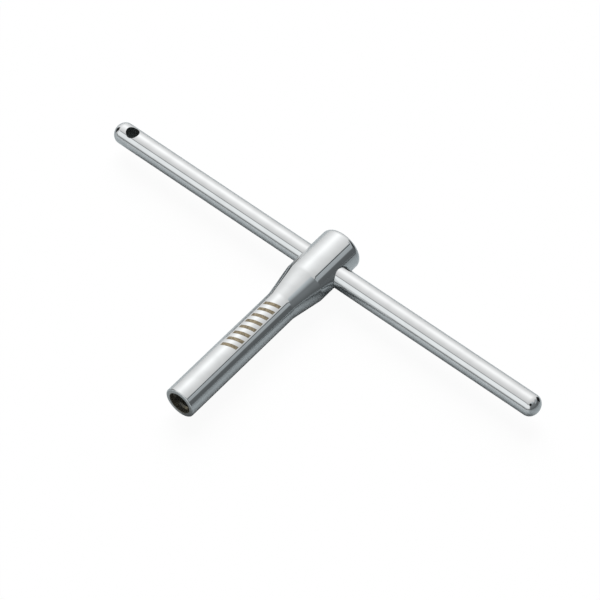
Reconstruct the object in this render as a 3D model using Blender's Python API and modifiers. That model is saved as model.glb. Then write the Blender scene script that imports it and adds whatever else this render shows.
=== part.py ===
"""T-handle square-socket key: a turned, chrome-plated barrel with a straight cross bar pressed
through its head.

Frame: +X along the cross bar, towards the end without the hanging hole; +Y along the barrel, from
the open socket to the head; +Z up, with the tool lying flat. The origin is on the plane it lies
on, half-way along the bar and half-way along the barrel. Run it with Blender 4.5:

    blender --background --python part.py
"""

import math

import bmesh
import bpy

MM = 0.001

# Barrel, along Y. Distances along it are counted from the mouth of the socket.
BARREL_LENGTH = 74.35 * MM
HEAD_DIAMETER = 14.0 * MM
SHANK_DIAMETER = 10.3 * MM
TAPER_START = 45.55 * MM
TAPER_END = 56.25 * MM
TAPER_BLEND_RADIUS = 6.0 * MM
HEAD_EDGE_RADIUS = 1.9 * MM
MOUTH_EDGE_RADIUS = 0.4 * MM
BAR_AXIS = 64.65 * MM

# Socket: a round lead-in, then a drilled pilot bore broached square. Its flats face X and Z.
LEAD_IN_DIAMETER = 7.4 * MM
LEAD_IN_DEPTH = 1.5 * MM
SOCKET_ACROSS_FLATS = 6.0 * MM
SOCKET_CORNER_RADIUS = 1.6 * MM
SOCKET_DEPTH = 15.0 * MM
PILOT_DIAMETER = 6.2 * MM
PILOT_DEPTH = 17.5 * MM
DRILL_POINT_ANGLE = math.radians(118.0)

# Cross bar, along X, through the middle of the barrel's head.
BAR_DIAMETER = 7.0 * MM
BAR_LENGTH = 162.0 * MM
BAR_DOME_HEIGHT = 3.1 * MM
PRESS_FIT_GAP = 0.05 * MM
HANGING_HOLE_DIAMETER = 4.0 * MM
HANGING_HOLE_FROM_END = 6.4 * MM

# Facets of the round shapes
ROUND_STEPS = 64
HOLE_STEPS = 32
ARC_STEPS = 5
DOME_STEPS = 8
SMOOTH_ANGLE = math.radians(30.0)
MERGE_DISTANCE = 0.00001

AXIS_HEIGHT = HEAD_DIAMETER / 2
MOUTH_Y = -BARREL_LENGTH / 2
BAR_Y = MOUTH_Y + BAR_AXIS
TURN_TO_Y = (-math.pi / 2, 0.0, 0.0)
TURN_TO_X = (0.0, math.pi / 2, 0.0)


def clear_scene():
    for obj in list(bpy.data.objects):
        bpy.data.objects.remove(obj, do_unlink=True)


def new_collection(name, hidden=False):
    collection = bpy.data.collections.new(name)
    collection.hide_render = hidden
    bpy.context.scene.collection.children.link(collection)
    return collection


def new_material(name, colour, roughness):
    material = bpy.data.materials.new(name)
    material.use_nodes = True
    shader = material.node_tree.nodes["Principled BSDF"]
    shader.inputs["Base Color"].default_value = (*colour, 1.0)
    shader.inputs["Metallic"].default_value = 1.0
    shader.inputs["Roughness"].default_value = roughness
    return material


def new_object(name, mesh, collection, location=(0.0, 0.0, 0.0), rotation=(0.0, 0.0, 0.0)):
    obj = bpy.data.objects.new(name, mesh)
    obj.location = location
    obj.rotation_euler = rotation
    collection.objects.link(obj)
    return obj


def arc(centre, radii, start, end, steps):
    """Points of an elliptical arc in (radius, height), from one angle in degrees to another."""
    points = []
    for i in range(steps + 1):
        angle = math.radians(start + (end - start) * i / steps)
        points.append((centre[0] + radii[0] * math.cos(angle), centre[1] + radii[1] * math.sin(angle)))
    return points


def turned(name, profile, collection, location, rotation):
    """A solid turned about its local Z from a profile of (radius, height), listed top to bottom."""
    mesh = bpy.data.meshes.new(name)
    edges = [(i, i + 1) for i in range(len(profile) - 1)]
    mesh.from_pydata([(radius, 0.0, height) for radius, height in profile], edges, [])
    obj = new_object(name, mesh, collection, location, rotation)
    screw = obj.modifiers.new("Turn", "SCREW")
    screw.steps = ROUND_STEPS
    screw.render_steps = ROUND_STEPS
    screw.use_merge_vertices = True
    screw.merge_threshold = MERGE_DISTANCE
    return obj


def cylinder_cutter(name, radius, length, steps, collection, location, rotation):
    mesh = bpy.data.meshes.new(name)
    shape = bmesh.new()
    bmesh.ops.create_cone(
        shape, cap_ends=True, segments=steps, radius1=radius, radius2=radius, depth=length
    )
    shape.to_mesh(mesh)
    shape.free()
    return as_cutter(new_object(name, mesh, collection, location, rotation))


def as_cutter(obj):
    obj.hide_render = True
    obj.display_type = "WIRE"
    return obj


def cut(obj, cutter):
    boolean = obj.modifiers.new(cutter.name, "BOOLEAN")
    boolean.operation = "DIFFERENCE"
    boolean.solver = "EXACT"
    boolean.object = cutter


def finish(obj, material):
    """Applies the modifiers, so that the solid shades smooth over its round faces only."""
    graph = bpy.context.evaluated_depsgraph_get()
    mesh = bpy.data.meshes.new_from_object(obj.evaluated_get(graph))
    obj.modifiers.clear()
    obj.data = mesh
    mesh.materials.clear()
    mesh.materials.append(material)
    mesh.shade_smooth()
    mesh.set_sharp_from_angle(angle=SMOOTH_ANGLE)


def taper_profile():
    """The cone between head and shank, with an arc tangent to the cylinder at each end of it."""
    head, shank = HEAD_DIAMETER / 2, SHANK_DIAMETER / 2
    slope = math.atan2(head - shank, TAPER_END - TAPER_START)
    reach = TAPER_BLEND_RADIUS * math.tan(slope / 2)
    turn = math.degrees(slope)
    radii = (TAPER_BLEND_RADIUS, TAPER_BLEND_RADIUS)
    shoulder = arc((head - TAPER_BLEND_RADIUS, TAPER_END + reach), radii, 0.0, -turn, ARC_STEPS)
    neck = arc(
        (shank + TAPER_BLEND_RADIUS, TAPER_START - reach), radii, 180.0 - turn, 180.0, ARC_STEPS
    )
    return shoulder + neck


def barrel_profile():
    head, shank = HEAD_DIAMETER / 2, SHANK_DIAMETER / 2
    head_edge = arc(
        (head - HEAD_EDGE_RADIUS, BARREL_LENGTH - HEAD_EDGE_RADIUS),
        (HEAD_EDGE_RADIUS, HEAD_EDGE_RADIUS), 90.0, 0.0, ARC_STEPS,
    )
    mouth_edge = arc(
        (shank - MOUTH_EDGE_RADIUS, MOUTH_EDGE_RADIUS),
        (MOUTH_EDGE_RADIUS, MOUTH_EDGE_RADIUS), 0.0, -90.0, ARC_STEPS,
    )
    return [(0.0, BARREL_LENGTH)] + head_edge + taper_profile() + mouth_edge + [(0.0, 0.0)]


def pilot_bore(collection):
    """The drilled hole: the drill's point, its bore, a cone at 45 degrees and the wider lead-in."""
    bore, lead_in = PILOT_DIAMETER / 2, LEAD_IN_DIAMETER / 2
    point = bore / math.tan(DRILL_POINT_ANGLE / 2)
    profile = [
        (0.0, PILOT_DEPTH + point),
        (bore, PILOT_DEPTH),
        (bore, LEAD_IN_DEPTH + lead_in - bore),
        (lead_in, LEAD_IN_DEPTH),
        (lead_in, -LEAD_IN_DEPTH),
        (0.0, -LEAD_IN_DEPTH),
    ]
    return as_cutter(
        turned("pilot_bore", profile, collection, (0.0, MOUTH_Y, AXIS_HEIGHT), TURN_TO_Y)
    )


def broached_square(collection):
    """The square broach's track, rounded at its four corners, from outside the mouth inwards."""
    mesh = bpy.data.meshes.new("broached_square")
    shape = bmesh.new()
    bmesh.ops.create_cube(shape, size=1.0)
    length = 2 * SOCKET_DEPTH
    bmesh.ops.scale(shape, vec=(SOCKET_ACROSS_FLATS, SOCKET_ACROSS_FLATS, length), verts=shape.verts)
    corners = [e for e in shape.edges if abs(e.verts[0].co.z - e.verts[1].co.z) > SOCKET_DEPTH]
    bmesh.ops.bevel(
        shape, geom=corners, offset=SOCKET_CORNER_RADIUS, segments=ARC_STEPS, profile=0.5,
        affect="EDGES",
    )
    shape.to_mesh(mesh)
    shape.free()
    return as_cutter(
        new_object("broached_square", mesh, collection, (0.0, MOUTH_Y, AXIS_HEIGHT), TURN_TO_Y)
    )


def make_barrel(parts, cutters, material):
    barrel = turned("barrel", barrel_profile(), parts, (0.0, MOUTH_Y, AXIS_HEIGHT), TURN_TO_Y)
    cross_hole = cylinder_cutter(
        "cross_hole", BAR_DIAMETER / 2 + PRESS_FIT_GAP, 2 * HEAD_DIAMETER, ROUND_STEPS, cutters,
        (0.0, BAR_Y, AXIS_HEIGHT), TURN_TO_X,
    )
    for cutter in (broached_square(cutters), pilot_bore(cutters), cross_hole):
        cut(barrel, cutter)
    finish(barrel, material)


def make_cross_bar(parts, cutters, material):
    radius, half = BAR_DIAMETER / 2, BAR_LENGTH / 2
    straight = half - BAR_DOME_HEIGHT
    dome = (radius, BAR_DOME_HEIGHT)
    profile = arc((0.0, straight), dome, 90.0, 0.0, DOME_STEPS)
    profile += arc((0.0, -straight), dome, 0.0, -90.0, DOME_STEPS)
    bar = turned("cross_bar", profile, parts, (0.0, BAR_Y, AXIS_HEIGHT), TURN_TO_X)
    hanging_hole = cylinder_cutter(
        "hanging_hole", HANGING_HOLE_DIAMETER / 2, 2 * BAR_DIAMETER, HOLE_STEPS, cutters,
        (HANGING_HOLE_FROM_END - half, BAR_Y, AXIS_HEIGHT), (0.0, 0.0, 0.0),
    )
    cut(bar, hanging_hole)
    finish(bar, material)


def main():
    clear_scene()
    parts = new_collection("square_socket_t_key")
    cutters = new_collection("cutters", hidden=True)
    make_barrel(parts, cutters, new_material("barrel_chrome", (0.65, 0.66, 0.67), 0.05))
    make_cross_bar(parts, cutters, new_material("bar_chrome", (0.66, 0.67, 0.67), 0.05))


main()
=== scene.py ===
"""Looks for the T-handle square-socket key: fine chrome surfaces in place of the two faceted CAD
nodes, a laser-marked row of plain bars, a pale floor, a photographer's light tent and the camera.

Lengths are metres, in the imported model's frame: +X along the cross bar, +Y from the socket's mouth
to the head, +Z up. A light level is the grey, 0 to 255, that the chrome shows when it mirrors it.
"""

import math

import bmesh
import bpy
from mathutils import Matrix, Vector


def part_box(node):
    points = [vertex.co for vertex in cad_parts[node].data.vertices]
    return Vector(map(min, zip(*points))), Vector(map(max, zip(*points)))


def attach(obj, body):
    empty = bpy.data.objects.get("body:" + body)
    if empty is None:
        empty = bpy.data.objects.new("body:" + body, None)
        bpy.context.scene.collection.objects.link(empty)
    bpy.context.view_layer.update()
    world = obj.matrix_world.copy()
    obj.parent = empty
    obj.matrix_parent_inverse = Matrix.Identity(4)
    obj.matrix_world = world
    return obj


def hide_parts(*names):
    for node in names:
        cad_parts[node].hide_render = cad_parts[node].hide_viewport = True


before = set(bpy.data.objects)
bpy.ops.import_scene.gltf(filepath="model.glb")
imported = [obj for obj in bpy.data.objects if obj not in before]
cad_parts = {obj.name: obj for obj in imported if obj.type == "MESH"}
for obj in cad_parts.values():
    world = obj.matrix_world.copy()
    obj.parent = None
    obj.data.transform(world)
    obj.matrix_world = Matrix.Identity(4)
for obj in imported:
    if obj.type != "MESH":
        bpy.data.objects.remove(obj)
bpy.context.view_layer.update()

MM = 0.001
X, Y, Z = Vector((1, 0, 0)), Vector((0, 1, 0)), Vector((0, 0, 1))

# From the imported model
BARREL_LOW, BARREL_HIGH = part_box("barrel")
BAR_LOW, BAR_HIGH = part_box("cross_bar")
BARREL_LENGTH = BARREL_HIGH.y - BARREL_LOW.y
HEAD_RADIUS = (BARREL_HIGH.x - BARREL_LOW.x) / 2
BAR_LENGTH = BAR_HIGH.x - BAR_LOW.x
BAR_RADIUS = (BAR_HIGH.z - BAR_LOW.z) / 2
MOUTH = Vector((0, BARREL_LOW.y, (BARREL_LOW.z + BARREL_HIGH.z) / 2))
BAR_START = Vector((BAR_LOW.x, (BAR_LOW.y + BAR_HIGH.y) / 2, MOUTH.z))
JUNCTION = Vector((0, BAR_START.y, MOUTH.z))

# The barrel's turned shape, as in the CAD; distances are counted from the mouth
SHANK_RADIUS = 5.15 * MM
TAPER_START = 45.55 * MM
TAPER_END = 56.25 * MM
TAPER_BLEND_RADIUS = 6.0 * MM
HEAD_EDGE_RADIUS = 1.9 * MM
MOUTH_EDGE_RADIUS = 0.4 * MM

# The socket: a round lead-in, then a square with rounded corners broached into a drilled pilot bore
LEAD_IN_RADIUS = 3.7 * MM
LEAD_IN_DEPTH = 1.5 * MM
SOCKET_FLAT = 3.0 * MM
SOCKET_CORNER_RADIUS = 1.6 * MM
SOCKET_DEPTH = 15.0 * MM
SOCKET_EDGE = 0.1 * MM
LEDGE = 0.02 * MM
PILOT_RADIUS = 3.1 * MM
PILOT_DEPTH = 17.5 * MM
DRILL_POINT_ANGLE = math.radians(118.0)

# The cross bar, its ends and its holes
BAR_DOME_HEIGHT = 3.1 * MM
HANGING_HOLE_RADIUS = 2.0 * MM
HANGING_HOLE_FROM_END = 6.4 * MM
HANGING_HOLE_EDGE = 0.16 * MM
PRESS_FIT_GAP = 0.01 * MM
CROSS_HOLE_EDGE = 0.22 * MM

# The laser-marked bars on the top of the shank
MARK_START = 21.65 * MM
MARK_END = 42.05 * MM
MARK_WIDTH = 4.9 * MM
MARK_BARS = 8
MARK_BAR_SHARE = 0.45
MARK_SLANT = math.radians(18.0)
MARK_PROUD = 0.006 * MM
MARK_SUNK = 0.02 * MM

# Fineness of the round surfaces
ROUND_STEPS = 256
HOLE_STEPS = 128
ARC_STEPS = 16
MARK_STEPS = 20
SHARP_ANGLE = math.radians(30.0)

# Camera: where it looks from and what it aims at, as offsets from the junction in the view's plane
CAMERA_AZIMUTH = math.radians(39.96)
CAMERA_ELEVATION = math.radians(53.61)
CAMERA_DISTANCE = 1.2367
CAMERA_LENS = 251.2
AIM_LEFT = 6.74 * MM
AIM_DOWN = 10.08 * MM


# ---------------------------------------------------------------- outlines and surfaces


def arc_outline(centre, radius, start, end, hollow=False):
    """Points (along, radius, tilt) of an arc of an outline. A tilt is the surface normal's angle in
    degrees from square to the axis, positive towards the far end, and start and end are tilts."""
    side = -1 if hollow else 1
    points = []
    for i in range(ARC_STEPS + 1):
        tilt = math.radians(start + (end - start) * i / ARC_STEPS)
        along = centre[0] + side * radius * math.sin(tilt)
        points.append((along, centre[1] + side * radius * math.cos(tilt), math.degrees(tilt)))
    return points


def barrel_outline():
    slope = math.atan2(HEAD_RADIUS - SHANK_RADIUS, TAPER_END - TAPER_START)
    reach = TAPER_BLEND_RADIUS * math.tan(slope / 2)
    tilt = -math.degrees(slope)
    mouth = (MOUTH_EDGE_RADIUS, SHANK_RADIUS - MOUTH_EDGE_RADIUS)
    neck = (TAPER_START - reach, SHANK_RADIUS + TAPER_BLEND_RADIUS)
    shoulder = (TAPER_END + reach, HEAD_RADIUS - TAPER_BLEND_RADIUS)
    head = (BARREL_LENGTH - HEAD_EDGE_RADIUS, HEAD_RADIUS - HEAD_EDGE_RADIUS)
    return (
        arc_outline(mouth, MOUTH_EDGE_RADIUS, -90, 0)
        + arc_outline(neck, TAPER_BLEND_RADIUS, 0, tilt, hollow=True)
        + arc_outline(shoulder, TAPER_BLEND_RADIUS, tilt, 0)
        + arc_outline(head, HEAD_EDGE_RADIUS, 0, 90)
    )


def dome_outline(start, height, side):
    """The cross bar's domed end, half an ellipse, from its tip or to it."""
    points = []
    for i in range(2 * ARC_STEPS + 1):
        turn = math.radians(90 * i / (2 * ARC_STEPS))
        along = start + side * height * math.cos(turn)
        tilt = math.atan2(math.cos(turn) / height, math.sin(turn) / BAR_RADIUS)
        points.append((along, BAR_RADIUS * math.sin(turn), side * math.degrees(tilt)))
    return points if side < 0 else points[::-1]


def bar_outline():
    near = dome_outline(BAR_DOME_HEIGHT, BAR_DOME_HEIGHT, -1)
    far = dome_outline(BAR_LENGTH - BAR_DOME_HEIGHT, BAR_DOME_HEIGHT, 1)
    return near + far


def interpolate(outline, along):
    """The tilt of the outline at a distance along it."""
    for (a, _, tilt_a), (b, _, tilt_b) in zip(outline, outline[1:]):
        if along <= b:
            share = 0 if b - a < 1e-9 else max(0, (along - a) / (b - a))
            return tilt_a + (tilt_b - tilt_a) * share
    return outline[-1][2]


def turned_normal(outline, start, axis):
    """A function from a point of the turned surface to its exact normal."""

    def normal(point):
        offset = point - start
        along = offset.dot(axis)
        radial = offset - axis * along
        tilt = math.radians(interpolate(outline, along))
        if radial.length < 1e-9:
            return axis * math.copysign(1, tilt)
        return radial.normalized() * math.cos(tilt) + axis * math.sin(tilt)

    return normal


def ring(centre, axis, radius, steps):
    """Points round an axis. The radius is a number or a function of the angle."""
    u = Z if abs(axis.z) < 0.5 else X
    v = axis.cross(u)
    points = []
    for i in range(steps):
        turn = 2 * math.pi * i / steps
        r = radius(turn) if callable(radius) else radius
        points.append(centre + u * (r * math.cos(turn)) + v * (r * math.sin(turn)))
    return points


def loft(name, sections, materials, picks=None, joined=False):
    """A closed mesh through sections of equal size. picks gives each gap's material index, and
    joined closes the last section on the first in place of two end caps."""
    shape = bmesh.new()
    rows = [[shape.verts.new(point) for point in section] for section in sections]
    gaps = list(zip(rows, rows[1:]))
    if joined:
        gaps.append((rows[-1], rows[0]))
    for i, (low, high) in enumerate(gaps):
        for j in range(len(low)):
            k = (j + 1) % len(low)
            face = shape.faces.new((low[j], low[k], high[k], high[j]))
            face.material_index = picks[i] if picks else 0
    if not joined:
        for cap, pick in ((rows[0], 0), (rows[-1], -1)):
            shape.faces.new(cap).material_index = picks[pick] if picks else 0
    bmesh.ops.recalc_face_normals(shape, faces=shape.faces)
    mesh = bpy.data.meshes.new(name)
    shape.to_mesh(mesh)
    shape.free()
    for material in materials:
        mesh.materials.append(material)
    obj = bpy.data.objects.new(name, mesh)
    bpy.context.scene.collection.objects.link(obj)
    return obj


def turned(name, outline, start, axis, material):
    sections = [
        ring(start + axis * along, axis, max(radius, 1e-6), ROUND_STEPS)
        for along, radius, _ in outline
    ]
    return loft(name, sections, [material])


def cut(obj, cutters):
    """Takes the cutters out of obj. Each cut face keeps its cutter's material."""
    for cutter in cutters:
        boolean = obj.modifiers.new(cutter.name, "BOOLEAN")
        boolean.operation = "DIFFERENCE"
        boolean.solver = "EXACT"
        boolean.material_mode = "TRANSFER"
        boolean.object = cutter
    graph = bpy.context.evaluated_depsgraph_get()
    mesh = bpy.data.meshes.new_from_object(obj.evaluated_get(graph))
    mesh.name = obj.name
    obj.modifiers.clear()
    obj.data = mesh
    for cutter in cutters:
        bpy.data.objects.remove(cutter, do_unlink=True)


def set_normals(obj, rules):
    """Exact normals on each surface that a rule covers: rules maps a material to a function from a
    point to its normal. Other faces are smooth up to the sharp angle."""
    mesh = obj.data
    mesh.shade_smooth()
    mesh.set_sharp_from_angle(angle=SHARP_ANGLE)
    normals = [Vector(corner.vector) for corner in mesh.corner_normals]
    for face in mesh.polygons:
        rule = rules.get(mesh.materials[face.material_index])
        if rule:
            for loop in face.loop_indices:
                normals[loop] = rule(mesh.vertices[mesh.loops[loop].vertex_index].co)
    mesh.normals_split_custom_set(normals)


# ---------------------------------------------------------------- drilled and broached holes


class CrossHole:
    """A round hole square through a round bar, with a small broken edge that follows each rim."""

    def __init__(self, name, centre, axis, radius, bar_axis, bar_radius, edge):
        self.name, self.centre, self.axis, self.radius = name, centre, axis, radius
        self.bar_axis, self.bar_radius, self.edge = bar_axis, bar_radius, edge
        self.across = axis.cross(bar_axis)

    def rim(self, turn, radius, side):
        """A point at this distance from the hole's axis, on the bar's surface."""
        sideways = radius * math.sin(turn)
        height = math.sqrt(self.bar_radius**2 - sideways**2)
        along = radius * math.cos(turn)
        level = self.centre + self.bar_axis * along + self.across * sideways
        return level + self.axis * (side * height)

    def drill(self, material):
        reach = self.axis * (2 * self.bar_radius)
        sections = [
            ring(self.centre + reach * side, self.axis, self.radius, HOLE_STEPS) for side in (-1, 1)
        ]
        return loft(self.name, sections, [material])

    def edge_cutter(self, side, material):
        """A three-sided ring whose inner face is the broken edge."""
        sections = []
        for i in range(HOLE_STEPS):
            turn = 2 * math.pi * (i + 0.5) / HOLE_STEPS
            inner = self.rim(turn, self.radius, side) - self.axis * (side * self.edge)
            outer = self.rim(turn, self.radius + self.edge, side)
            slope = (outer - inner) / 2
            above = inner - slope + self.axis * (side * 4 * self.edge)
            sections.append([inner - slope, outer + slope, above])
        return loft(f"{self.name}_edge", sections, [material], joined=True)

    def cutters(self, wall, edge):
        return [self.drill(wall)] + [self.edge_cutter(side, edge) for side in (-1, 1)]

    def wall_normal(self, point):
        offset = point - self.centre
        return -(offset - self.axis * offset.dot(self.axis)).normalized()

    def edge_normal(self, outer_normal):
        """Normals that turn from the bar's to the hole's across the edge, so that it shades round."""

        def normal(point):
            offset = point - self.centre
            reach = (offset - self.axis * offset.dot(self.axis)).length
            if reach < self.radius + self.edge / 2:
                return self.wall_normal(point)
            return outer_normal(point)

        return normal


def socket_radius(turn):
    """The socket's outline round its axis: the square with rounded corners, or the pilot bore."""
    from_flat = abs((turn + math.pi / 4) % (math.pi / 2) - math.pi / 4)
    straight = SOCKET_FLAT - SOCKET_CORNER_RADIUS
    if SOCKET_FLAT * math.tan(from_flat) <= straight:
        reach = SOCKET_FLAT / math.cos(from_flat)
    else:
        centre = straight * math.sqrt(2)
        off = math.pi / 4 - from_flat
        reach = centre * math.cos(off) + math.sqrt(
            SOCKET_CORNER_RADIUS**2 - (centre * math.sin(off)) ** 2
        )
    return max(reach, PILOT_RADIUS)


def socket_cutter(bore):
    point_height = PILOT_RADIUS / math.tan(DRILL_POINT_ANGLE / 2)
    cone_end = LEAD_IN_DEPTH + LEAD_IN_RADIUS - PILOT_RADIUS
    stages = (
        (-2 * SOCKET_EDGE, LEAD_IN_RADIUS + 3 * SOCKET_EDGE),
        (SOCKET_EDGE, LEAD_IN_RADIUS),
        (LEAD_IN_DEPTH, LEAD_IN_RADIUS),
        (cone_end, socket_radius),
        (SOCKET_DEPTH, socket_radius),
        (SOCKET_DEPTH + LEDGE, PILOT_RADIUS),
        (PILOT_DEPTH, PILOT_RADIUS),
        (PILOT_DEPTH + point_height, LEDGE),
    )
    sections = [ring(MOUTH + Y * depth, Y, radius, HOLE_STEPS) for depth, radius in stages]
    return loft("socket", sections, [bore])


# ---------------------------------------------------------------- pieces


def make_barrel(looks):
    outline = barrel_outline()
    barrel = turned("barrel_body", outline, MOUTH, Y, looks["barrel"])
    hole = CrossHole(
        "cross_hole", JUNCTION, X, BAR_RADIUS + PRESS_FIT_GAP, Y, HEAD_RADIUS, CROSS_HOLE_EDGE
    )
    cut(barrel, [socket_cutter(looks["bore"])] + hole.cutters(looks["bore"], looks["edge"]))
    paint_mouth_ring_shade(barrel, looks["mouth"])
    surface = turned_normal(outline, MOUTH, Y)
    set_normals(barrel, {looks["barrel"]: surface, looks["edge"]: hole.edge_normal(surface)})
    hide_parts("barrel")
    return barrel


def paint_mouth_ring_shade(barrel, look):
    """The flat ring round the socket's mouth gets a darker, rougher chrome: the dark colour is painted
    shade.
    """
    barrel.data.materials.append(look)
    for face in barrel.data.polygons:
        if face.normal.y < -0.99 and abs(face.center.y - MOUTH.y) < LEDGE:
            face.material_index = len(barrel.data.materials) - 1


def make_cross_bar(looks):
    outline = bar_outline()
    bar = turned("cross_bar_body", outline, BAR_START, X, looks["bar"])
    centre = BAR_START + X * HANGING_HOLE_FROM_END
    hole = CrossHole(
        "hanging_hole", centre, Z, HANGING_HOLE_RADIUS, X, BAR_RADIUS, HANGING_HOLE_EDGE
    )
    cut(bar, hole.cutters(looks["hole"], looks["edge"]))
    surface = turned_normal(outline, BAR_START, X)
    rules = {
        looks["bar"]: surface,
        looks["hole"]: hole.wall_normal,
        looks["edge"]: hole.edge_normal(surface),
    }
    set_normals(bar, rules)
    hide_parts("cross_bar")
    return bar


def shank_point(along, around, lift):
    """A point near the shank's surface: along it from the mouth, round it from the top, above it."""
    turn = around / SHANK_RADIUS
    radius = SHANK_RADIUS + lift
    return MOUTH + Y * along + X * (radius * math.sin(turn)) + Z * (radius * math.cos(turn))


def make_mark(look):
    """The laser marking: a row of plain slanted bars, each a thin plate sunk into the surface."""
    pitch = (MARK_END - MARK_START) / (MARK_BARS - 1 + MARK_BAR_SHARE)
    width = pitch * MARK_BAR_SHARE
    plates = []
    for i in range(MARK_BARS):
        middle = MARK_START + width / 2 + pitch * i
        sections = []
        for j in range(MARK_STEPS + 1):
            around = MARK_WIDTH * (j / MARK_STEPS - 0.5)
            along = middle + around * math.tan(MARK_SLANT)
            corners = ((-1, -MARK_SUNK), (1, -MARK_SUNK), (1, MARK_PROUD), (-1, MARK_PROUD))
            sections.append(
                [shank_point(along + side * width / 2, around, lift) for side, lift in corners]
            )
        plates.append(loft(f"mark_bar_{i}", sections, [look]))
    mark = join("marked_bars", plates)
    return mark


def join(name, objects):
    shape = bmesh.new()
    for obj in objects:
        shape.from_mesh(obj.data)
    mesh = bpy.data.meshes.new(name)
    shape.to_mesh(mesh)
    shape.free()
    mesh.materials.append(objects[0].data.materials[0])
    for obj in objects:
        bpy.data.objects.remove(obj, do_unlink=True)
    joined = bpy.data.objects.new(name, mesh)
    bpy.context.scene.collection.objects.link(joined)
    return joined


# ---------------------------------------------------------------- node helpers


def add(tree, kind, inputs=None, **settings):
    """A new node. Its inputs are given by name or number, each as a value or another node's output."""
    made = tree.nodes.new("ShaderNode" + kind)
    for name, value in settings.items():
        setattr(made, name, value)
    for name, value in (inputs or {}).items():
        if isinstance(value, bpy.types.NodeSocket):
            tree.links.new(value, made.inputs[name])
        else:
            made.inputs[name].default_value = value
    return made


def calculate(tree, operation, *values):
    return add(tree, "Math", dict(enumerate(values)), operation=operation).outputs[0]


def smooth(tree, value, start, end, low=0.0, high=1.0):
    """low before start, high after end, and a smooth step between them."""
    inputs = {"Value": value, "From Min": start, "From Max": end, "To Min": low, "To Max": high}
    return add(tree, "MapRange", inputs, interpolation_type="SMOOTHSTEP").outputs[0]


def new_material(name, colour, roughness, metallic=1.0):
    material = bpy.data.materials.new(name)
    material.use_nodes = True
    shader = material.node_tree.nodes["Principled BSDF"]
    shader.inputs["Base Color"].default_value = (*colour, 1.0)
    shader.inputs["Metallic"].default_value = metallic
    shader.inputs["Roughness"].default_value = roughness
    return material, material.node_tree, shader


def stretched_noise(tree, scale, detail, stretch=(1.0, 1.0, 1.0)):
    """Noise with this many cells a metre, drawn out along an axis whose stretch is small."""
    place = add(tree, "TexCoord").outputs["Object"]
    mapping = add(tree, "Mapping", {"Vector": place, "Scale": stretch})
    return add(
        tree, "TexNoise", {"Vector": mapping.outputs[0], "Scale": scale, "Detail": detail}
    ).outputs["Fac"]


def mix_colour(tree, share, low, high):
    mixed = add(tree, "Mix", {"Factor": share}, data_type="RGBA")
    for index, colour in ((6, low), (7, high)):
        mixed.inputs[index].default_value = (*colour, 1.0)
    return mixed.outputs[2]


# ---------------------------------------------------------------- materials


def chrome(name, colour, lines, wear_and_shade=0.0):
    """Bright chrome plate: a faint cloudiness, polishing lines along `lines` and a slight ripple."""
    material, tree, shader = new_material(name, colour, 0.05)
    cloud = stretched_noise(tree, 260.0, 3.0)
    lined = stretched_noise(tree, 9000.0, 2.0, lines)
    # wear darkens the clouded patches and roughens the plate; on the mouth ring and edges the
    # darkening adds painted shade
    dull = tuple(c * (0.94 - wear_and_shade) for c in colour)
    tone = mix_colour(tree, smooth(tree, cloud, 0.35, 0.75), colour, dull)
    tree.links.new(tone, shader.inputs["Base Color"])
    clouded = smooth(tree, cloud, 0.3, 0.8, 0.035 + wear_and_shade, 0.06 + wear_and_shade)
    rough = calculate(tree, "ADD", clouded, calculate(tree, "MULTIPLY", lined, 0.02))
    tree.links.new(rough, shader.inputs["Roughness"])
    ripple = stretched_noise(tree, 420.0, 1.0)
    height = calculate(tree, "ADD", calculate(tree, "MULTIPLY", ripple, 6.0), lined)
    bump = add(tree, "Bump", {"Height": height, "Strength": 1.0, "Distance": 1.5e-7})
    tree.links.new(bump.outputs[0], shader.inputs["Normal"])
    return material


def bare_steel_painted_shade(name, light, dark):
    """Oily dull steel with broaching lines along the bore. Its colours are far darker than steel's:
    painted shade inside the holes, with stains.
    """
    material, tree, shader = new_material(name, light, 0.6, metallic=0.8)
    stain = stretched_noise(tree, 700.0, 4.0)
    lined = stretched_noise(tree, 5000.0, 2.0, (1.0, 0.03, 1.0))
    colour = mix_colour(tree, smooth(tree, stain, 0.3, 0.7), light, dark)
    tree.links.new(colour, shader.inputs["Base Color"])
    tree.links.new(smooth(tree, stain, 0.2, 0.8, 0.5, 0.7), shader.inputs["Roughness"])
    bump = add(tree, "Bump", {"Height": lined, "Strength": 1.0, "Distance": 4e-6})
    tree.links.new(bump.outputs[0], shader.inputs["Normal"])
    return material


def laser_mark(name):
    """Matt brown-grey oxide left by a marking laser, in fine lines along the shank."""
    material, tree, shader = new_material(name, (0.3, 0.26, 0.18), 0.55)
    patch = stretched_noise(tree, 1500.0, 4.0)
    lined = stretched_noise(tree, 12000.0, 1.0, (1.0, 0.05, 1.0))
    share = smooth(tree, patch, 0.3, 0.7)
    tone = mix_colour(tree, share, (0.36, 0.31, 0.22), (0.24, 0.2, 0.14))
    tree.links.new(tone, shader.inputs["Base Color"])
    tree.links.new(smooth(tree, patch, 0.2, 0.8, 0.45, 0.62), shader.inputs["Roughness"])
    bump = add(tree, "Bump", {"Height": lined, "Strength": 0.6, "Distance": 2e-6})
    tree.links.new(bump.outputs[0], shader.inputs["Normal"])
    return material


# ---------------------------------------------------------------- light tent, floor and camera

# The chrome shows this share of what it mirrors
CHROME_REFLECTANCE = 0.66

# Level of the tent's cloth by the angle from its brightest point
GLOW_AZIMUTH = math.radians(-136.0)
GLOW_ELEVATION = math.radians(46.0)
CLOTH = (
    (0, 259), (10, 248), (20, 234), (30, 222), (42, 210), (56, 199), (72, 185), (100, 180),
    (180, 174),
)
# Levels by elevation: in front of the object, a white card above a narrow gap
CARD = (
    (-4, 66), (1, 80), (5, 155), (12, 213), (17, 228), (43, 231), (45.5, 205), (47.5, 125),
    (50, 125), (53, 190),
)
# to its right, dimmer cloth
DIM_CLOTH = ((-4, 80), (7, 93), (18, 103), (30, 110), (41, 110), (52, 155), (62, 179), (72, 193))
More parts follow.
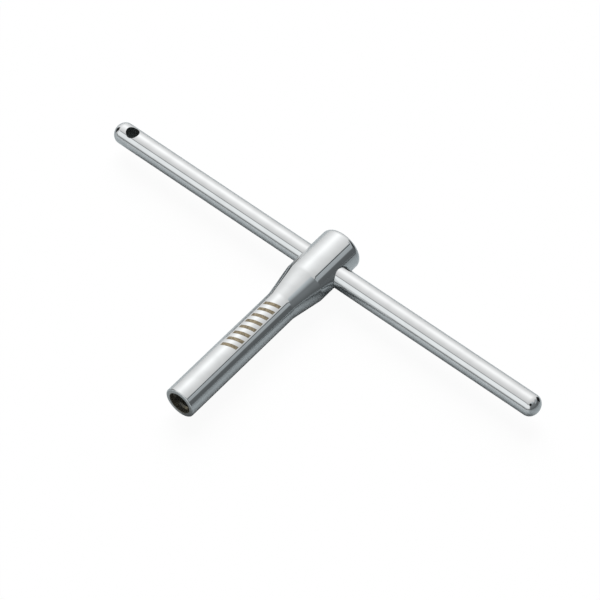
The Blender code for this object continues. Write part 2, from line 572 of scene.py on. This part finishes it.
# and beyond that, a pale strip that ends at a narrow gap
STRIP = (
    (-4, 86), (20, 90), (23.5, 110), (25.5, 155), (41, 163), (42, 45), (44, 40), (45.5, 155),
    (50, 182),
)
CARD_TINT = (0.97, 1.0, 1.01)
DIM_TINT = (0.93, 1.0, 1.04)
# Each with its tint, the elevations where it gives way to the cloth, and its azimuths' start, end
# and soft edge
ZONES = (
    (CARD, CARD_TINT, (49, 53), (-58, 50, 10)),
    (DIM_CLOTH, DIM_TINT, (62, 76), (32, 124, 16)),
    (STRIP, DIM_TINT, (44, 48), (106, 158, 7)),
)
# Dark things in the studio: azimuth, elevation and radius in degrees, and the light they leave
DARK_SPOTS = ((162, 6, 20, 0.03), (47, 49, 16, 0.04))
# A dark gap beside the card: start, end and soft edge of its azimuths and of its elevations
GAP_AZIMUTHS = (-99, -63, 5)
GAP_ELEVATIONS = (-10, 36, 8)
GAP_LIGHT = 0.04
# Dark table beyond the paper, seen from an end of the bar: which end, azimuths and how far off
DARK_TABLE = ((-1, -99, -63, 38 * MM), (1, 145, 183, 24 * MM))
TABLE_SOFT = 6
TABLE_FADE = 1.7

# The floor: nearly white to the camera, and glazed grey in the chrome's mirror images
FLOOR_GLOW = 0.95
FLOOR_SHADE = 0.05
FLOOR_LEVEL = 150
FLOOR_TINT = (0.91, 1.0, 1.04)
FLOOR_GLAZE_IOR = 1.5
FLOOR_GLAZE_ROUGHNESS = 0.12
FLOOR_SHEEN = 0.1
FLOOR_SHEEN_ROUGHNESS = 0.55
KEY_LIGHT = 0.88
FILL_LIGHT = 0.25
KEY_SPREAD = math.radians(50.0)
KEY_AZIMUTH = math.radians(-138.0)
KEY_ELEVATION = math.radians(46.0)


def linear(grey):
    """The linear light of a display grey, 0 to 255."""
    share = grey / 255
    return share / 12.92 if share <= 0.04045 else ((share + 0.055) / 1.055) ** 2.4


def direction_to(azimuth, elevation):
    """Azimuth is counted from -Y towards +X."""
    level = math.cos(elevation)
    return Vector((math.sin(azimuth) * level, -math.cos(azimuth) * level, math.sin(elevation)))


def level_ramp(tree, value, low, high, levels, tint=(1.0, 1.0, 1.0)):
    """Light by a value between low and high, straight between the given levels."""
    place = calculate(tree, "DIVIDE", calculate(tree, "SUBTRACT", value, low), high - low)
    ramp = add(tree, "ValToRGB", {"Fac": place})
    while len(ramp.color_ramp.elements) < len(levels):
        ramp.color_ramp.elements.new(0.5)
    for element, (at, _) in zip(ramp.color_ramp.elements, levels):
        element.position = (at - low) / (high - low)
    for element, (_, grey) in zip(ramp.color_ramp.elements, levels):
        element.color = (*[linear(grey) * share for share in tint], 1.0)
    return ramp.outputs["Color"]


def blend_light(tree, share, low, high):
    mixed = add(tree, "Mix", {"Factor": share}, data_type="RGBA")
    tree.links.new(low, mixed.inputs[6])
    tree.links.new(high, mixed.inputs[7])
    return mixed.outputs[2]


def between(tree, value, start, end, soft):
    """1 between start and end and 0 outside them, with soft steps inside the range."""
    rise = smooth(tree, value, start, start + soft)
    fall = smooth(tree, value, end - soft, end, 1.0, 0.0)
    return calculate(tree, "MULTIPLY", rise, fall)


def grey_light(tree, level):
    return add(tree, "CombineColor", dict.fromkeys(("Red", "Green", "Blue"), level)).outputs[0]


def azimuth_of(tree, parts):
    """Degrees from -Y towards +X of a vector, given as its separated parts."""
    ahead = calculate(tree, "MULTIPLY", parts["Y"], -1.0)
    turn = calculate(tree, "ARCTAN2", parts["X"], ahead)
    return calculate(tree, "MULTIPLY", turn, math.degrees(1))


def angle_from(tree, direction, target):
    """Degrees between the mirrored direction and a target."""
    near = add(tree, "VectorMath", {0: direction, 1: target}, operation="DOT_PRODUCT")
    angle = calculate(tree, "ARCCOSINE", near.outputs["Value"])
    return calculate(tree, "MULTIPLY", angle, math.degrees(1))


def tent_light(tree):
    """What the chrome mirrors above the floor."""
    direction = add(tree, "TexCoord").outputs["Generated"]
    parts = add(tree, "SeparateXYZ", {0: direction}).outputs
    elevation = calculate(tree, "MULTIPLY", calculate(tree, "ARCSINE", parts["Z"]), math.degrees(1))
    azimuth = azimuth_of(tree, parts)

    from_glow = angle_from(tree, direction, direction_to(GLOW_AZIMUTH, GLOW_ELEVATION))
    light = level_ramp(tree, from_glow, 0, 180, CLOTH)
    cloth = light
    for levels, tint, (top_start, top_end), (start, end, soft) in ZONES:
        low = level_ramp(tree, elevation, -90, 90, levels, tint)
        zone = blend_light(tree, smooth(tree, elevation, top_start, top_end), low, cloth)
        light = blend_light(tree, between(tree, azimuth, start, end, soft), light, zone)

    shades = [dark_spot(tree, direction, *spot) for spot in DARK_SPOTS]
    gap = calculate(
        tree, "MULTIPLY",
        between(tree, azimuth, *GAP_AZIMUTHS),
        between(tree, elevation, *GAP_ELEVATIONS),
    )
    shades.append(smooth(tree, gap, 0.0, 1.0, 1.0, GAP_LIGHT))
    for shade in shades:
        light = multiply_light(tree, light, grey_light(tree, shade))
    return light


def mix_shaders(tree, share, low, high):
    return add(tree, "MixShader", {0: share, 1: low.outputs[0], 2: high.outputs[0]})


def multiply_light(tree, light, tint):
    mixed = add(tree, "Mix", {"Factor": 1.0}, data_type="RGBA", blend_type="MULTIPLY")
    tree.links.new(light, mixed.inputs[6])
    tree.links.new(tint, mixed.inputs[7])
    return mixed.outputs[2]


def dark_spot(tree, direction, azimuth, elevation, radius, left):
    target = direction_to(math.radians(azimuth), math.radians(elevation))
    away = angle_from(tree, direction, target)
    return smooth(tree, away, 0.7 * radius, radius, left, 1.0)


def make_world():
    """The camera sees white, the chrome mirrors the tent, and a weak share of it lights the rest."""
    world = bpy.data.worlds.new("light_tent")
    bpy.context.scene.world = world
    world.use_nodes = True
    tree = world.node_tree
    tree.nodes.clear()
    light = tent_light(tree)
    tent = add(tree, "Background", {"Color": light, "Strength": 1 / CHROME_REFLECTANCE})
    white = add(tree, "Background", {"Color": (1.0, 1.0, 1.0, 1.0), "Strength": 1.0})
    fill = add(tree, "Background", {"Color": light, "Strength": FILL_LIGHT})
    rays = add(tree, "LightPath").outputs
    unseen = mix_shaders(tree, rays["Is Camera Ray"], fill, white)
    pick = mix_shaders(tree, rays["Is Glossy Ray"], unseen, tent)
    add(tree, "OutputWorld", {"Surface": pick.outputs[0]})
    world.cycles.sampling_method = "NONE"


def make_key_light():
    """Casts the soft shadow on the floor. The chrome mirrors the tent's glow in its place."""
    data = bpy.data.lights.new("key_light", "SUN")
    data.energy = KEY_LIGHT * math.pi / math.sin(KEY_ELEVATION)
    data.angle = KEY_SPREAD
    key = bpy.data.objects.new("key_light", data)
    bpy.context.scene.collection.objects.link(key)
    key.rotation_mode = "QUATERNION"
    key.rotation_quaternion = direction_to(KEY_AZIMUTH, KEY_ELEVATION).to_track_quat("Z", "Y")
    key.visible_glossy = False


def paper_light(tree):
    """1 on the paper and nearly 0 on the dark table past its edge."""
    place = add(tree, "TexCoord").outputs["Object"]
    share = 1.0
    for side, start, end, near in DARK_TABLE:
        foot = JUNCTION + X * (side * BAR_LENGTH / 2)
        offset = add(tree, "VectorMath", {0: place, 1: foot}, operation="SUBTRACT").outputs[0]
        parts = add(tree, "SeparateXYZ", {0: offset}).outputs
        azimuth = azimuth_of(tree, parts)
        if end > 180:
            azimuth = calculate(tree, "WRAP", azimuth, 360.0, 0.0)
        distance = calculate(
            tree, "SQRT",
            calculate(
                tree, "ADD",
                calculate(tree, "POWER", parts["X"], 2.0),
                calculate(tree, "POWER", parts["Y"], 2.0),
            ),
        )
        dark = calculate(
            tree, "MULTIPLY", between(tree, azimuth, start, end, TABLE_SOFT),
            smooth(tree, distance, near, TABLE_FADE * near),
        )
        share = calculate(tree, "MULTIPLY", share, smooth(tree, dark, 0.0, 1.0, 1.0, GAP_LIGHT))
    return share


def floor_paper(name):
    """Glazed pale paper, which the camera sees nearly white and the chrome sees as it is."""
    material = bpy.data.materials.new(name)
    material.use_nodes = True
    tree = material.node_tree
    tree.nodes.clear()
    grain = smooth(tree, stretched_noise(tree, 900.0, 3.0), 0.2, 0.8)
    tone = mix_colour(tree, grain, [FLOOR_SHADE] * 3, [FLOOR_SHADE * 0.96] * 3)
    shade = add(tree, "BsdfDiffuse", {"Color": tone})
    glow = add(tree, "Emission", {"Color": (FLOOR_GLOW, FLOOR_GLOW, FLOOR_GLOW, 1.0)})
    seen = add(tree, "AddShader", {0: glow.outputs[0], 1: shade.outputs[0]})
    light = grey_light(tree, paper_light(tree))
    grey = [linear(FLOOR_LEVEL) / CHROME_REFLECTANCE * tint for tint in FLOOR_TINT]
    tint = add(tree, "RGB")
    tint.outputs[0].default_value = (*grey, 1.0)
    matt = add(tree, "BsdfDiffuse", {"Color": multiply_light(tree, light, tint.outputs[0])})
    sheen = add(tree, "BsdfGlossy", {"Color": light, "Roughness": FLOOR_SHEEN_ROUGHNESS})
    glaze = add(tree, "BsdfGlossy", {"Color": light, "Roughness": FLOOR_GLAZE_ROUGHNESS})
    fresnel = add(tree, "Fresnel", {"IOR": FLOOR_GLAZE_IOR}).outputs[0]
    mirrored = mix_shaders(tree, fresnel, mix_shaders(tree, FLOOR_SHEEN, matt, sheen), glaze)
    pick = mix_shaders(tree, add(tree, "LightPath").outputs["Is Glossy Ray"], seen, mirrored)
    add(tree, "OutputMaterial", {"Surface": pick.outputs[0]})
    return material


def make_floor():
    """A level sheet of pale paper."""
    shape = bmesh.new()
    bmesh.ops.create_grid(shape, x_segments=8, y_segments=8, size=3.0)
    mesh = bpy.data.meshes.new("floor")
    shape.to_mesh(mesh)
    shape.free()
    mesh.materials.append(floor_paper("pale_paper"))
    floor = bpy.data.objects.new("floor", mesh)
    bpy.context.scene.collection.objects.link(floor)


def make_camera():
    back = direction_to(CAMERA_AZIMUTH, CAMERA_ELEVATION)
    right = Z.cross(back).normalized()
    up = back.cross(right)
    data = bpy.data.cameras.new("camera")
    data.lens = CAMERA_LENS
    data.clip_end = 10.0
    camera = bpy.data.objects.new("camera", data)
    bpy.context.scene.collection.objects.link(camera)
    camera.rotation_mode = "QUATERNION"
    camera.rotation_quaternion = (-back).to_track_quat("-Z", "Y")
    camera.location = JUNCTION - right * AIM_LEFT - up * AIM_DOWN + back * CAMERA_DISTANCE
    bpy.context.scene.camera = camera


def main():
    make_camera()
    make_world()
    make_key_light()
    make_floor()
    looks = {
        "barrel": chrome("barrel_chrome", (0.65, 0.664, 0.668), (1.0, 0.02, 1.0)),
        "bar": chrome("bar_chrome", (0.658, 0.667, 0.67), (0.02, 1.0, 1.0)),
        # the edges' darker colour is painted shade, meant for the crease where the bar enters the head
        "edge": chrome("edge_chrome_painted_shade", (0.58, 0.59, 0.595), (1.0, 1.0, 1.0), wear_and_shade=0.06),
        # the mouth ring's dark colour is painted shade of the floor it mirrors; its extra roughness is
        # wear
        "mouth": chrome("mouth_chrome_painted_shade", (0.43, 0.435, 0.43), (1.0, 1.0, 1.0), wear_and_shade=0.08),
        # the socket's brown and grey: stains of bare oily steel, darkened further as painted shade
        # inside the socket
        "bore": bare_steel_painted_shade("bore_steel_painted_shade", (0.2, 0.18, 0.13), (0.11, 0.11, 0.1)),
        # the hanging hole's near-black walls are painted shade, so that the hole reads black
        "hole": bare_steel_painted_shade("hole_steel_painted_shade", (0.13, 0.14, 0.135), (0.08, 0.09, 0.085)),
    }
    for piece in (make_barrel(looks), make_cross_bar(looks), make_mark(laser_mark("laser_mark"))):
        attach(piece, "root")
    bpy.context.scene.view_settings.view_transform = "Standard"


main()
